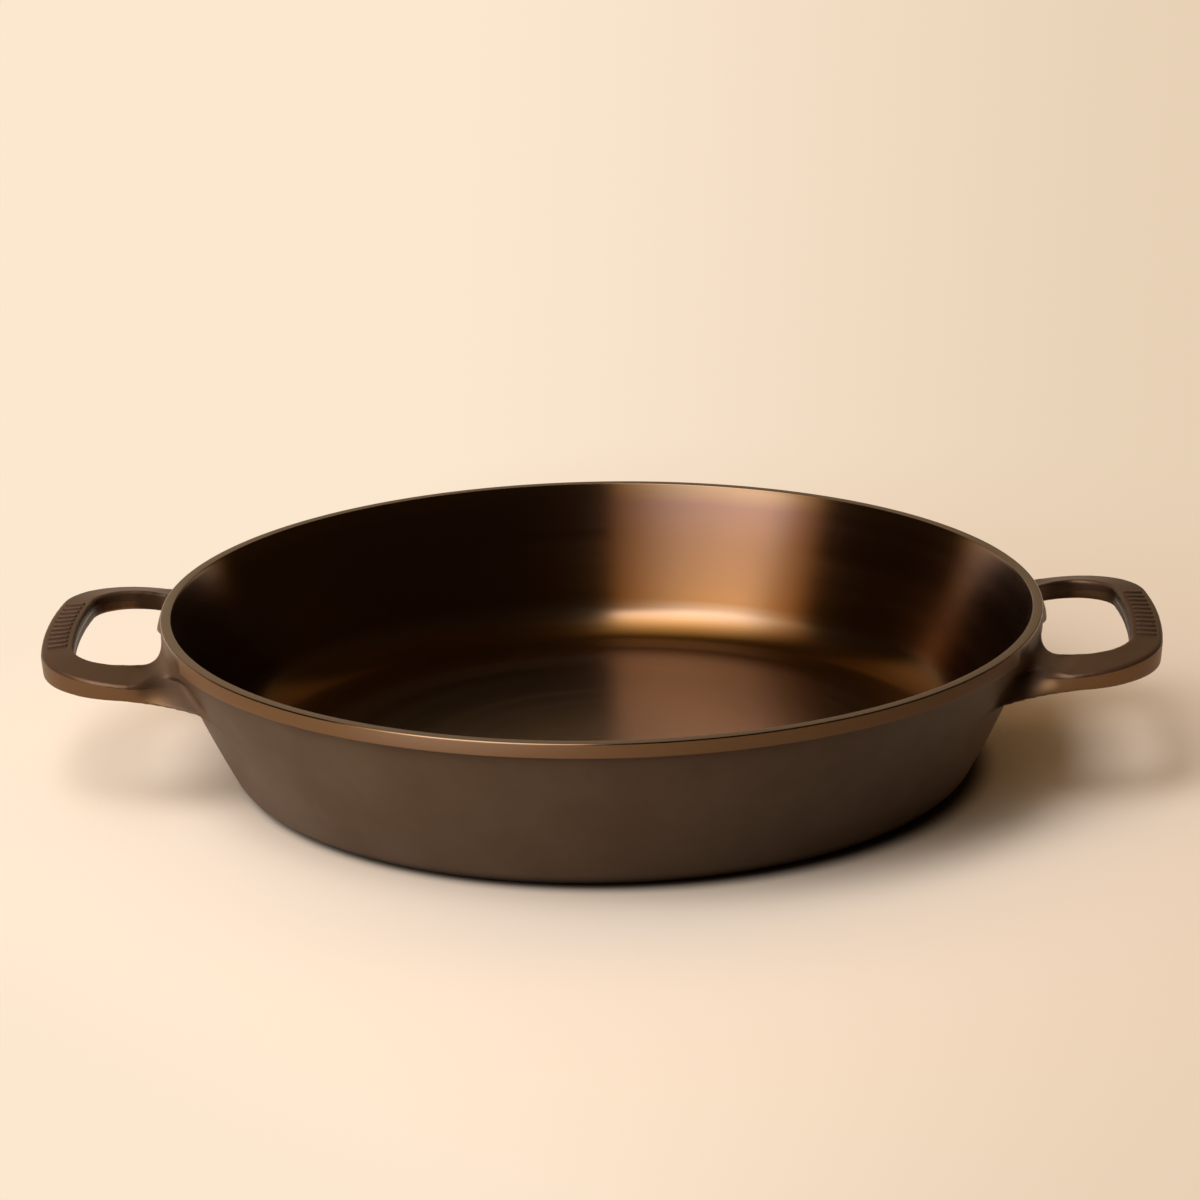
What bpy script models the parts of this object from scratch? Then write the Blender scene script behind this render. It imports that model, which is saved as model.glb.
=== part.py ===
"""A dual handle skillet, cast in iron, at its real size.

Metres, +Z up. The origin is under the middle of the base, on the surface that the pan rests on.
X runs through both handles and Y runs from the front of the pan to its back.
The right handle is modelled on the +X side, and the left one is the same shape turned half round.
"""

import math

import bmesh
import bpy
from mathutils import Matrix, Vector

MM = 0.001

# Bowl, read at the rim and down the outside.
RIM_RADIUS = 178 * MM
RIM_WIDTH = 4.75 * MM
RIM_EDGE_ROUND = 0.6 * MM
HEIGHT = 68 * MM
BAND_HEIGHT = 5.3 * MM
BAND_FLARE = 1.4 * MM
BAND_STEP_HEIGHT = 0.7 * MM
WALL_TOP_RADIUS = 176.8 * MM
WALL_TOP_ANGLE = math.radians(21.5)
WALL_FOOT_ANGLE = math.radians(27.5)
HEEL_RADIUS = 12.5 * MM

# Bowl, inside.
INSIDE_TOP_ANGLE = math.radians(18.5)
INSIDE_FILLET = 20 * MM
FLOOR_THICKNESS = 5.2 * MM

# How finely round shapes are divided.
TURNED_STEPS = 96
WALL_STEPS = 6
FILLET_STEPS = 7
CORNER_STEPS = 10
ROOT_STEPS = 10
SIDE_STEPS = 4
END_STEPS = 5
SHARP_ANGLE = math.radians(32)

# Handle, in plan. The end bar bows outwards, and x = tip - BOW * y * y along it.
TIP_OUTER = 225.5 * MM
TIP_INNER = 212 * MM
BOW = 1.8
HALF_WIDTH_OUTER = 66 * MM
HALF_WIDTH_INNER = 48.5 * MM
CORNER_OUTER = 36.5 * MM
CORNER_INNER = 19 * MM
DRAFT = 0.9 * MM
OPENING_WALL_RADIUS = 178.5 * MM
OPENING_ROOT_CORNER = 15 * MM

# Where an arm runs into the wall, in plan: the four points of a curve that starts inside the bowl.
ROOT_X = 184 * MM
TOP_ROOT = (
    (160 * MM, 36 * MM),
    (172 * MM, 46 * MM),
    (178 * MM, HALF_WIDTH_OUTER),
    (ROOT_X, HALF_WIDTH_OUTER),
)
UNDER_ROOT = (
    (150 * MM, 76 * MM),
    (160 * MM, 70 * MM),
    (174 * MM, HALF_WIDTH_OUTER - DRAFT),
    (ROOT_X, HALF_WIDTH_OUTER - DRAFT),
)

# Handle, in height. Each edge has its height at REFERENCE_X and its rise for each metre outwards.
REFERENCE_X = 196 * MM
TOP_OUTER = (56.3 * MM, 0.113)
TOP_INNER = (59.5 * MM, 0.072)
UNDER_OUTER = (48.7 * MM, 0.032)
UNDER_INNER = (51.4 * MM, 0.07)
ROOT_TOP_RISE = 0.09
ROOT_UNDER_X = 188 * MM
ROOT_UNDER_DROP = 0.08
TOP_EDGE_ROUND = 1.5 * MM
UNDER_EDGE_ROUND = 1.2 * MM

# Plain raised bars across the top of each end bar.
BAR_COUNT = 11
BAR_PITCH = 5.6 * MM
BAR_LENGTH = 8 * MM
BAR_WIDTH = 1.8 * MM
BAR_RELIEF = 0.6 * MM
BAR_SUNK = 0.8 * MM

# Touching pieces keep this gap, and the solid that cuts it reaches this far past the bowl.
GAP = 0.3 * MM
CUTTER_MARGIN = 20 * MM

# Where the middle of a rounded square corner lies, in from the corner, as a share of its radius.
ROUND_MIDDLE = 1 - math.sqrt(0.5)

# Rounds of the sum that finds where a loop's corner meets its bowed end.
MEETING_ROUNDS = 8

BRONZE_BROWN = (0.052, 0.031, 0.019, 1.0)
IRON_METALLIC = 0.8
TURNED_ROUGHNESS = 0.42
CAST_ROUGHNESS = 0.5


def clear_scene():
    for old in list(bpy.data.objects):
        bpy.data.objects.remove(old)


def iron(name, colour, roughness):
    """Seasoned cast iron: dark, half metallic."""
    material = bpy.data.materials.new(name)
    material.use_nodes = True
    shader = material.node_tree.nodes["Principled BSDF"]
    shader.inputs["Base Color"].default_value = colour
    shader.inputs["Roughness"].default_value = roughness
    shader.inputs["Metallic"].default_value = IRON_METALLIC
    return material


def add_object(name, mesh):
    made = bpy.data.objects.new(name, mesh)
    bpy.context.scene.collection.objects.link(made)
    return made


def shade_round(mesh):
    mesh.shade_smooth()
    mesh.set_sharp_from_angle(angle=SHARP_ANGLE)


def arc(centre, radius, start, end, steps):
    """Points round an arc, both ends included."""
    angles = [start + (end - start) * i / steps for i in range(steps + 1)]
    return [(centre[0] + radius * math.cos(a), centre[1] + radius * math.sin(a)) for a in angles]


def bezier(points, steps):
    """Points along a cubic curve, its last end left out."""
    made = []
    for i in range(steps):
        t = i / steps
        u = 1 - t
        weights = (u**3, 3 * u * u * t, 3 * u * t * t, t**3)
        made.append(tuple(sum(w * p[axis] for w, p in zip(weights, points)) for axis in (0, 1)))
    return made


def leaning_wall(top, foot_z, top_angle, foot_angle, steps):
    """Radius and height down a wall whose lean grows evenly from its top to its foot."""
    points = [top]
    drop = (top[1] - foot_z) / steps
    for i in range(steps):
        lean = top_angle + (foot_angle - top_angle) * (i + 0.5) / steps
        radius, z = points[-1]
        points.append((radius - drop * math.tan(lean), z - drop))
    return points


def outside_profile(gap=0.0):
    """Radius and height down the outside, from the rim to the edge of the base."""
    rim_slope = [(RIM_RADIUS, HEIGHT - RIM_EDGE_ROUND), (RIM_RADIUS + BAND_FLARE, HEIGHT - BAND_HEIGHT)]
    wall_top = (WALL_TOP_RADIUS, HEIGHT - BAND_HEIGHT - BAND_STEP_HEIGHT)
    heel_top = HEEL_RADIUS * (1 - math.sin(WALL_FOOT_ANGLE))
    wall = leaning_wall(wall_top, heel_top, WALL_TOP_ANGLE, WALL_FOOT_ANGLE, WALL_STEPS)
    foot_radius = wall[-1][0] - HEEL_RADIUS * math.cos(WALL_FOOT_ANGLE)
    heel = arc((foot_radius, HEEL_RADIUS), HEEL_RADIUS, -WALL_FOOT_ANGLE, -math.pi / 2, WALL_STEPS)
    return [(radius + gap, z) for radius, z in rim_slope + wall + heel[1:]]


def inside_profile():
    """Radius and height from the middle of the floor up to the rim's inner edge."""
    fillet_top = FLOOR_THICKNESS + INSIDE_FILLET * (1 - math.sin(WALL_FOOT_ANGLE))
    rim_inner = (RIM_RADIUS - RIM_WIDTH, HEIGHT)
    wall = leaning_wall(rim_inner, fillet_top, INSIDE_TOP_ANGLE, WALL_FOOT_ANGLE, WALL_STEPS)
    floor_radius = wall[-1][0] - INSIDE_FILLET * math.cos(WALL_FOOT_ANGLE)
    centre = (floor_radius, FLOOR_THICKNESS + INSIDE_FILLET)
    fillet = arc(centre, INSIDE_FILLET, -WALL_FOOT_ANGLE, -math.pi / 2, FILLET_STEPS)
    down = wall + fillet[1:]
    return [(0.0, FLOOR_THICKNESS)] + down[::-1]


def turned_object(name, profile):
    """An object turned round Z from a profile that runs down its outer side."""
    mesh = bpy.data.meshes.new(name)
    points = [(radius, 0.0, z) for radius, z in profile]
    mesh.from_pydata(points, [(i, i + 1) for i in range(len(points) - 1)], [])
    turned = add_object(name, mesh)
    screw = turned.modifiers.new("turn", "SCREW")
    screw.axis = "Z"
    screw.steps = TURNED_STEPS
    screw.render_steps = TURNED_STEPS
    screw.use_merge_vertices = True
    screw.merge_threshold = 0.00001
    screw.use_smooth_shade = True
    return turned


def pan_body():
    """The bowl: floor, fillet, flared wall, flat rim and the machined band under it."""
    cut = ROUND_MIDDLE * RIM_EDGE_ROUND
    rim_outer = [(RIM_RADIUS - RIM_EDGE_ROUND, HEIGHT), (RIM_RADIUS - cut, HEIGHT - cut)]
    profile = inside_profile() + rim_outer + outside_profile() + [(0.0, 0.0)]
    body = turned_object("pan_body", profile)
    body.data.materials.append(iron("pan_body_iron", BRONZE_BROWN, TURNED_ROUGHNESS))
    return body


def wall_clearance():
    """A solid that is the outside of the bowl plus the gap. It trims the handles and isn't a piece."""
    side = outside_profile(GAP)
    above_rim = HEIGHT + CUTTER_MARGIN
    below_base = -CUTTER_MARGIN
    profile = [(0.0, above_rim), (side[0][0], above_rim)] + side
    cutter = turned_object("wall_clearance", profile + [(side[-1][0], below_base), (0.0, below_base)])
    hide(cutter)
    return cutter


def hide(helper):
    helper.hide_render = True
    helper.display_type = "WIRE"


def end_x(tip, y):
    return tip - BOW * y * y


def corner(tip, half_width, radius):
    """The outer corner of a loop in plan, from the side of an arm round to the bowed end."""
    centre_y = half_width - radius
    lean = 0.0
    for _ in range(MEETING_ROUNDS):
        lean = math.atan(2 * BOW * (centre_y + radius * math.sin(lean)))
    meet_y = centre_y + radius * math.sin(lean)
    centre_x = end_x(tip, meet_y) - radius * math.cos(lean)
    return arc((centre_x, centre_y), radius, math.pi / 2, lean, CORNER_STEPS)


def end_run(tip, start_y):
    """Along the bowed end from a corner to the middle, the corner left out."""
    ys = [start_y * (1 - i / END_STEPS) for i in range(1, END_STEPS + 1)]
    return [(end_x(tip, y), y) for y in ys]


def half_outline(root, tip, half_width, radius):
    """Half of an outer edge in plan, from the middle of the buried side to the tip."""
    buried_x, buried_y = root[0]
    buried = [(buried_x, buried_y * i / SIDE_STEPS) for i in range(SIDE_STEPS)]
    turn = corner(tip, half_width, radius)
    return buried + bezier(root, ROOT_STEPS) + turn + end_run(tip, turn[-1][1])


def half_opening():
    """Half of the opening's edge in plan, matched point for point with half_outline."""
    centre_y = HALF_WIDTH_INNER - OPENING_ROOT_CORNER
    centre_x = math.sqrt((OPENING_WALL_RADIUS + OPENING_ROOT_CORNER) ** 2 - centre_y**2)
    bearing = math.atan2(centre_y, centre_x)
    along_wall = arc((0.0, 0.0), OPENING_WALL_RADIUS, 0.0, bearing, SIDE_STEPS)[:-1]
    centre = (centre_x, centre_y)
    root_corner = arc(centre, OPENING_ROOT_CORNER, math.pi + bearing, math.pi / 2, ROOT_STEPS - 1)
    turn = corner(TIP_INNER, HALF_WIDTH_INNER, CORNER_INNER)
    return along_wall + root_corner + turn + end_run(TIP_INNER, turn[-1][1])


def closed_loop(half):
    """A half edge and its mirror image, without the two points that they share."""
    return half + [(x, -y) for x, y in half[-2:0:-1]]


def edge_height(edge, x):
    height, rise = edge
    return height + rise * (x - REFERENCE_X)


def outer_top_z(x):
    return edge_height(TOP_OUTER, max(x, ROOT_X)) + ROOT_TOP_RISE * max(0.0, ROOT_X - x)


def outer_under_z(x):
    return edge_height(UNDER_OUTER, max(x, ROOT_UNDER_X)) - ROOT_UNDER_DROP * max(0.0, ROOT_UNDER_X - x)


def handle_edges():
    """The four long edges of a handle, as matched closed loops of points."""
    drafted_tip = TIP_OUTER - DRAFT
    drafted_width = HALF_WIDTH_OUTER - DRAFT
    top = closed_loop(half_outline(TOP_ROOT, TIP_OUTER, HALF_WIDTH_OUTER, CORNER_OUTER))
    under = closed_loop(half_outline(UNDER_ROOT, drafted_tip, drafted_width, CORNER_OUTER - DRAFT))
    opening = closed_loop(half_opening())
    top_outer = [Vector((x, y, outer_top_z(x))) for x, y in top]
    under_outer = [Vector((x, y, outer_under_z(x))) for x, y in under]
    under_inner = [Vector((x, y, edge_height(UNDER_INNER, x))) for x, y in opening]
    top_inner = [Vector((x, y, edge_height(TOP_INNER, x))) for x, y in opening]
    return top_outer, under_outer, under_inner, top_inner


def rounded_section(corners):
    """Three points in place of each corner, so that the long edges are rounded."""
    rounds = (TOP_EDGE_ROUND, UNDER_EDGE_ROUND, UNDER_EDGE_ROUND, TOP_EDGE_ROUND)
    points = []
    for i, here in enumerate(corners):
        back = (corners[i - 1] - here).normalized() * rounds[i]
        ahead = (corners[(i + 1) % 4] - here).normalized() * rounds[i]
        points += [here + back, here + ROUND_MIDDLE * (back + ahead), here + ahead]
    return points


def handle_mesh():
    """A loop handle on the +X side, with its buried side still running into the bowl."""
    sections = [rounded_section(corners) for corners in zip(*handle_edges())]
    shape = bmesh.new()
    rings = [[shape.verts.new(point) for point in section] for section in sections]
    for i, ring in enumerate(rings):
        following = rings[(i + 1) % len(rings)]
        for k in range(len(ring)):
            after = (k + 1) % len(ring)
            shape.faces.new((ring[k], following[k], following[after], ring[after]))
    bmesh.ops.recalc_face_normals(shape, faces=shape.faces)
    mesh = bpy.data.meshes.new("loop_handle")
    shape.to_mesh(mesh)
    shape.free()
    shade_round(mesh)
    return mesh


def raised_bars_mesh():
    """A row of plain bars that stand a little proud of the end bar's top face."""
    shape = bmesh.new()
    for i in range(BAR_COUNT):
        y = (i - (BAR_COUNT - 1) / 2) * BAR_PITCH
        inner_x = end_x(TIP_INNER, y)
        outer_x = end_x(TIP_OUTER, y)
        inner_z = edge_height(TOP_INNER, inner_x)
        outer_z = outer_top_z(outer_x)
        middle = Vector(((inner_x + outer_x) / 2, y, (inner_z + outer_z) / 2))
        slope = math.atan2(inner_z - outer_z, outer_x - inner_x)
        bow = math.atan(2 * BOW * y)
        turn = Matrix.Rotation(bow, 4, "Z") @ Matrix.Rotation(slope, 4, "Y")
        size = Matrix.Diagonal((BAR_LENGTH, BAR_WIDTH, BAR_RELIEF + BAR_SUNK, 1.0))
        lift = Matrix.Translation((0.0, 0.0, (BAR_RELIEF - BAR_SUNK) / 2))
        bmesh.ops.create_cube(shape, size=1.0, matrix=Matrix.Translation(middle) @ turn @ lift @ size)
    mesh = bpy.data.meshes.new("raised_bars")
    shape.to_mesh(mesh)
    shape.free()
    return mesh


def loop_handle(name, turn, mesh, bars_mesh, cutter):
    """One handle, turned into place, with its bars joined on and its root trimmed to the bowl."""
    bars = add_object(name + "_bars", bars_mesh)
    bars.rotation_euler.z = turn
    hide(bars)
    handle = add_object(name, mesh)
    handle.rotation_euler.z = turn
    join = handle.modifiers.new("bars", "BOOLEAN")
    join.operation = "UNION"
    join.object = bars
    trim = handle.modifiers.new("trim", "BOOLEAN")
    trim.operation = "DIFFERENCE"
    trim.object = cutter
    return handle


def main():
    clear_scene()
    pan_body()
    cutter = wall_clearance()
    bars_mesh = raised_bars_mesh()
    for name, turn in (("handle_right", 0.0), ("handle_left", math.pi)):
        mesh = handle_mesh()
        mesh.materials.append(iron(name + "_iron", BRONZE_BROWN, CAST_ROUGHNESS))
        loop_handle(name, turn, mesh, bars_mesh, cutter)


main()
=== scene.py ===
"""The looks of a cast iron skillet with two loop handles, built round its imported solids.

Metres, +Z up. The pan stands on z = 0 with its axis on the Z axis, and its handles lie along X.
"""

import math

import bmesh
import bpy
from mathutils import Matrix, Vector


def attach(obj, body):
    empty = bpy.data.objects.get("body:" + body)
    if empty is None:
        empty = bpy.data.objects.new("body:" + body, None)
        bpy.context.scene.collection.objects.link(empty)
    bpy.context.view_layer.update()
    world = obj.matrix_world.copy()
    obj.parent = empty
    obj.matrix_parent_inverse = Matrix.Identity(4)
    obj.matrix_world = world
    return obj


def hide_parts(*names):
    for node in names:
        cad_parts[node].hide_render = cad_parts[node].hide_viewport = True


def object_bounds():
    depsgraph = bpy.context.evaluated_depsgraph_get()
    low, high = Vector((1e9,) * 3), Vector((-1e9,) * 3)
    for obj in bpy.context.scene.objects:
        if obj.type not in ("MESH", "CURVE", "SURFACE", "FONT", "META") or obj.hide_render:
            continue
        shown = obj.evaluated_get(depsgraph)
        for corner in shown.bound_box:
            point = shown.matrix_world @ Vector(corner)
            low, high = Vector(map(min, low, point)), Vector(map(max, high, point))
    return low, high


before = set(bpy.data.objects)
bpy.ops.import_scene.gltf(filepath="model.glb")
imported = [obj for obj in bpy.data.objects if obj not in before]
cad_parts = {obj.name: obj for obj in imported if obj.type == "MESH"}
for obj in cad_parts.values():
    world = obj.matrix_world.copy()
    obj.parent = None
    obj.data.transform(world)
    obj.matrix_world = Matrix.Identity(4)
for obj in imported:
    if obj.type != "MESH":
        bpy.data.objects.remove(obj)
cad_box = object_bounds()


# Camera. It looks down at the middle of the rim from a little right of straight ahead, through a long
# lens, and it is rolled a touch, which is why the photographed rim rises to the right.

CAMERA_DISTANCE = 1.78
CAMERA_ELEVATION = math.radians(17.23)
CAMERA_TURN = math.radians(1.2)
CAMERA_ROLL = math.radians(-1.03)
CAMERA_LENS = 132.0
CAMERA_SENSOR = 36.0
CAMERA_SHIFT = -0.0011
CAMERA_REACH = 100.0

rim_height = cad_box[1][2]
camera_data = bpy.data.cameras.new("photo_camera")
camera_data.lens = CAMERA_LENS
camera_data.sensor_width = CAMERA_SENSOR
camera_data.shift_x = CAMERA_SHIFT
camera_data.clip_end = CAMERA_REACH
camera = bpy.data.objects.new("photo_camera", camera_data)
bpy.context.scene.collection.objects.link(camera)
away = Vector((0.0, -math.cos(CAMERA_ELEVATION), math.sin(CAMERA_ELEVATION)))
turned_away = Matrix.Rotation(CAMERA_TURN, 3, "Z") @ away
look = (
    Matrix.Rotation(CAMERA_TURN, 4, "Z")
    @ Matrix.Rotation(math.pi / 2 - CAMERA_ELEVATION, 4, "X")
    @ Matrix.Rotation(CAMERA_ROLL, 4, "Z")
)
place = Vector((0.0, 0.0, rim_height)) + CAMERA_DISTANCE * turned_away
camera.matrix_world = Matrix.Translation(place) @ look
bpy.context.scene.camera = camera


# Bowl. The real one is cast in one piece with the handles, then its inside, its rim and a narrow band
# under the rim are turned smooth, and the band is ground back beside each arm. The rest keeps its cast
# skin. Here nodes turn one profile, from the middle of the floor over the rim to the middle of the base.

MM = 0.001
RIM_RADIUS = 178 * MM
RIM_WIDTH = 4.2 * MM
RIM_EDGE_INSET = 0.2 * MM
RIM_OUTER_ROUND = 0.75 * MM
RIM_INNER_ROUND = 0.45 * MM
BAND_HEIGHT = 5.3 * MM
BAND_FLARE = 1.4 * MM
BAND_LIP_ROUND = 0.35 * MM
BAND_STEP_HEIGHT = 0.7 * MM
GROUND_LEAN = 0.2
GROUND_BESIDE_ARM = {"Arm Start": 0.09, "Arm Full": 0.15, "Arm Fade": 0.37, "Arm End": 0.42}
WALL_TOP_RADIUS = 176.8 * MM
WALL_TOP_ANGLE = math.radians(21.5)
WALL_FOOT_ANGLE = math.radians(27.5)
HEEL_RADIUS = 12.5 * MM
INSIDE_TOP_ANGLE = math.radians(18.5)
INSIDE_FILLET = 24 * MM
FLOOR_THICKNESS = 5.2 * MM
TURNED_STEPS = 384
WALL_STEPS = 28
FILLET_STEPS = 32
EDGE_STEPS = 5
SHARP_ANGLE = math.radians(28)
SEAL_DISTANCE = 0.001 * MM

base_height = cad_box[0][2]


class Wire:
    """An output socket of a node tree, with which sums are written as Python expressions."""

    def __init__(self, socket):
        self.socket = socket

    def math(self, operation, *others):
        return Board(self.socket.id_data).calculate(operation, self, *others)

    def also(self, name):
        """Another output of the same node."""
        return Wire(self.socket.node.outputs[name])

    def __add__(self, other):
        return self.math("ADD", other)

    __radd__ = __add__

    def __sub__(self, other):
        return self.math("SUBTRACT", other)

    def __rsub__(self, other):
        return Board(self.socket.id_data).calculate("SUBTRACT", other, self)

    def __mul__(self, other):
        return self.math("MULTIPLY", other)

    __rmul__ = __mul__

    def __truediv__(self, other):
        return self.math("DIVIDE", other)

    def __neg__(self):
        return self.math("MULTIPLY", -1.0)

    def __abs__(self):
        return self.math("ABSOLUTE")


class Board:
    """A node tree to put nodes on."""

    def __init__(self, tree):
        self.tree = tree

    def node(self, kind, settings=None, sockets=None, output=0):
        """A new node with its settings made first, then its sockets set or linked. Gives one output."""
        made = self.tree.nodes.new(kind)
        for name, value in (settings or {}).items():
            if name == "stops":
                while len(made.color_ramp.elements) < len(value):
                    made.color_ramp.elements.new(0.5)
                for stop, (position, colour) in zip(made.color_ramp.elements, value):
                    stop.position = position
                    stop.color = colour
            else:
                setattr(made, name, value)
        for key, value in (sockets or {}).items():
            if isinstance(value, Wire):
                self.tree.links.new(value.socket, made.inputs[key])
            else:
                made.inputs[key].default_value = value
        return Wire(made.outputs[output]) if len(made.outputs) else None

    def calculate(self, operation, *values):
        return self.node("ShaderNodeMath", {"operation": operation}, dict(enumerate(values)))


def arc(centre, radius, start, end, steps):
    """Points round an arc, both ends included."""
    angles = [start + (end - start) * i / steps for i in range(steps + 1)]
    return [Vector((centre[0] + radius * math.cos(a), centre[1] + radius * math.sin(a))) for a in angles]


def rounded_corner(before, corner, after, radius):
    """Points round the arc that takes the place of a corner between two straight runs."""
    back = (before - corner).normalized()
    ahead = (after - corner).normalized()
    half_angle = back.angle(ahead) / 2
    centre = corner + (back + ahead).normalized() * radius / math.sin(half_angle)
    start = corner + back * radius / math.tan(half_angle) - centre
    sweep = math.copysign(math.pi - 2 * half_angle, back.x * ahead.y - back.y * ahead.x)
    turns = [Matrix.Rotation(-sweep * i / EDGE_STEPS, 2) for i in range(EDGE_STEPS + 1)]
    return [centre + turn @ start for turn in turns]


def leaning_wall(top, foot_z, top_angle, foot_angle):
    """Radius and height down a wall whose lean grows evenly from its top to its foot."""
    points = [top]
    drop = (top.y - foot_z) / WALL_STEPS
    for i in range(WALL_STEPS):
        lean = top_angle + (foot_angle - top_angle) * (i + 0.5) / WALL_STEPS
        points.append(points[-1] - Vector((drop * math.tan(lean), drop)))
    return points


def bowl_profile():
    """Radius and height from the middle of the floor, over the rim and down to the middle of the base.

    Also gives the number of points up to the foot of the turned band.
    """
    inner_edge = Vector((RIM_RADIUS - RIM_WIDTH, rim_height))
    fillet_top = FLOOR_THICKNESS + INSIDE_FILLET * (1 - math.sin(WALL_FOOT_ANGLE))
    inside = leaning_wall(inner_edge, fillet_top, INSIDE_TOP_ANGLE, WALL_FOOT_ANGLE)
    floor_radius = inside[-1].x - INSIDE_FILLET * math.cos(WALL_FOOT_ANGLE)
    fillet_centre = (floor_radius, FLOOR_THICKNESS + INSIDE_FILLET)
    fillet = arc(fillet_centre, INSIDE_FILLET, -math.pi / 2, -WALL_FOOT_ANGLE, FILLET_STEPS)

    outer_edge = Vector((RIM_RADIUS - RIM_EDGE_INSET, rim_height))
    band_foot = Vector((RIM_RADIUS + BAND_FLARE, rim_height - BAND_HEIGHT))
    wall_top = Vector((WALL_TOP_RADIUS, rim_height - BAND_HEIGHT - BAND_STEP_HEIGHT))
    rim_and_band = (
        rounded_corner(inside[1], inner_edge, outer_edge, RIM_INNER_ROUND)
        + rounded_corner(inner_edge, outer_edge, band_foot, RIM_OUTER_ROUND)
        + rounded_corner(outer_edge, band_foot, wall_top, BAND_LIP_ROUND)
    )

    heel_top = HEEL_RADIUS * (1 - math.sin(WALL_FOOT_ANGLE))
    outside = leaning_wall(wall_top, heel_top, WALL_TOP_ANGLE, WALL_FOOT_ANGLE)
    foot_radius = outside[-1].x - HEEL_RADIUS * math.cos(WALL_FOOT_ANGLE)
    heel = arc((foot_radius, HEEL_RADIUS), HEEL_RADIUS, -WALL_FOOT_ANGLE, -math.pi / 2, WALL_STEPS)

    turned = [Vector((0.0, FLOOR_THICKNESS))] + fillet + inside[-2:0:-1] + rim_and_band
    return turned + outside + heel[1:] + [Vector((0.0, base_height))], len(turned)


def mesh_object(name, points, edges):
    """A bare object for a node tree to work on."""
    mesh = bpy.data.meshes.new(name)
    mesh.from_pydata(points, edges, [])
    made = bpy.data.objects.new(name, mesh)
    bpy.context.scene.collection.objects.link(made)
    return made


def new_tree(name, sizes):
    """A geometry node tree with one named input for each size, and a wire from each."""
    tree = bpy.data.node_groups.new(name, "GeometryNodeTree")
    tree.interface.new_socket("Geometry", in_out="INPUT", socket_type="NodeSocketGeometry")
    tree.interface.new_socket("Geometry", in_out="OUTPUT", socket_type="NodeSocketGeometry")
    for size, value in sizes.items():
        kind = "NodeSocketInt" if isinstance(value, int) else "NodeSocketFloat"
        tree.interface.new_socket(size, in_out="INPUT", socket_type=kind)
    given = tree.nodes.new("NodeGroupInput")
    return Board(tree), {socket.name: Wire(socket) for socket in given.outputs if socket.name}


def finished_mesh(bare, board, sizes):
    """Runs the tree on a bare object and gives it the result as its plain mesh."""
    modifier = bare.modifiers.new(board.tree.name, "NODES")
    modifier.node_group = board.tree
    for item in board.tree.interface.items_tree:
        if item.in_out == "INPUT" and item.name in sizes:
            modifier[item.identifier] = sizes[item.name]
    evaluated = bare.evaluated_get(bpy.context.evaluated_depsgraph_get())
    mesh = bpy.data.meshes.new_from_object(evaluated)
    bare.modifiers.remove(modifier)
    bare.data = mesh
    mesh.name = bare.name
    mesh.shade_smooth()
    mesh.set_sharp_from_angle(angle=SHARP_ANGLE)


def new_material(name):
    material = bpy.data.materials.new(name)
    material.use_nodes = True
    material.node_tree.nodes.clear()
    return material, Board(material.node_tree)


def finish_material(board, sockets):
    """One principled shader with these socket values, and the output."""
    shader = board.node("ShaderNodeBsdfPrincipled", {}, sockets)
    board.node("ShaderNodeOutputMaterial", {}, {"Surface": shader})


def noise(board, where, size, detail):
    """Noise from 0 to 1 whose largest blotches are about as wide as size."""
    sockets = {"Vector": where, "Scale": 1.0 / size, "Detail": detail, "Roughness": NOISE_ROUGHNESS}
    return board.node("ShaderNodeTexNoise", {"noise_dimensions": "3D"}, sockets)


def mix_colours(board, share, first, second):
    sockets = {0: share, 6: first, 7: second}
    return board.node("ShaderNodeMix", {"data_type": "RGBA"}, sockets, 2)


def ramp_share(board, value, low, high):
    """0 below low, 1 above high, and smooth between."""
    sockets = {"Value": value, "From Min": low, "From Max": high}
    return board.node("ShaderNodeMapRange", {"interpolation_type": "SMOOTHSTEP"}, sockets)


def blended(first, second, share):
    """A number or wire that goes over from the first to the second as the share goes from 0 to 1."""
    return first + share * (second - first)


# The turned metal of the inside is seasoned to a bronze brown, over fine marks that run round the pan.
# Its colour changes with the height, partly as the seasoning's tone and partly as painted reflections: a
# lighter floor standing for the reflected wall, a deep orange glow at the foot of the fillet, and a
# lighter ring standing for the fillet's highlight. The rim and the band are satin, with a thin polished
# edge between.

SEASON_BROWN = (0.110, 0.060, 0.032, 1.0)
# Colours by height in mm. Painted reflections: the lighter floor tones, the orange at 4.5 and 8 mm, and the
# lighter ring at 12 to 16 mm.
TURNED_ZONES = (
    (-6, (0.195, 0.138, 0.105)),
    (1, (0.280, 0.172, 0.106)),
    (4.5, (0.250, 0.110, 0.026)),
    (8, (0.172, 0.066, 0.010)),
    (12, (0.205, 0.100, 0.036)),
    (16, (0.195, 0.122, 0.075)),
    (21, (0.143, 0.064, 0.023)),
    (45, (0.144, 0.071, 0.037)),
    (60, (0.155, 0.082, 0.058)),
    (66, (0.200, 0.120, 0.070)),
)
ZONES_FROM = -6 * MM
FLOOR_SPREAD = 0.3
SEASON_BLOTCH_SIZE = 60 * MM
SEASON_BLOTCH_START = 0.35
SEASON_BLOTCH_SHARE = 0.5
MARK_PITCH = 1.2 * MM
BROAD_MARK_PITCH = 9 * MM
MARKS_BY_HEIGHT = 0.65
MARKS_ROUND_PAN = 0.02
MARK_DEPTH = 0.005 * MM
NOISE_ROUGHNESS = 0.55
RIM_TAN = (0.106, 0.067, 0.038, 1.0)
RIM_FADE_BELOW = (0.12 * MM, 0.04 * MM)
BAND_BRONZE = (0.180, 0.086, 0.034, 1.0)
BAND_FADE_INSET = (2.6 * MM, 2.2 * MM)
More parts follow.
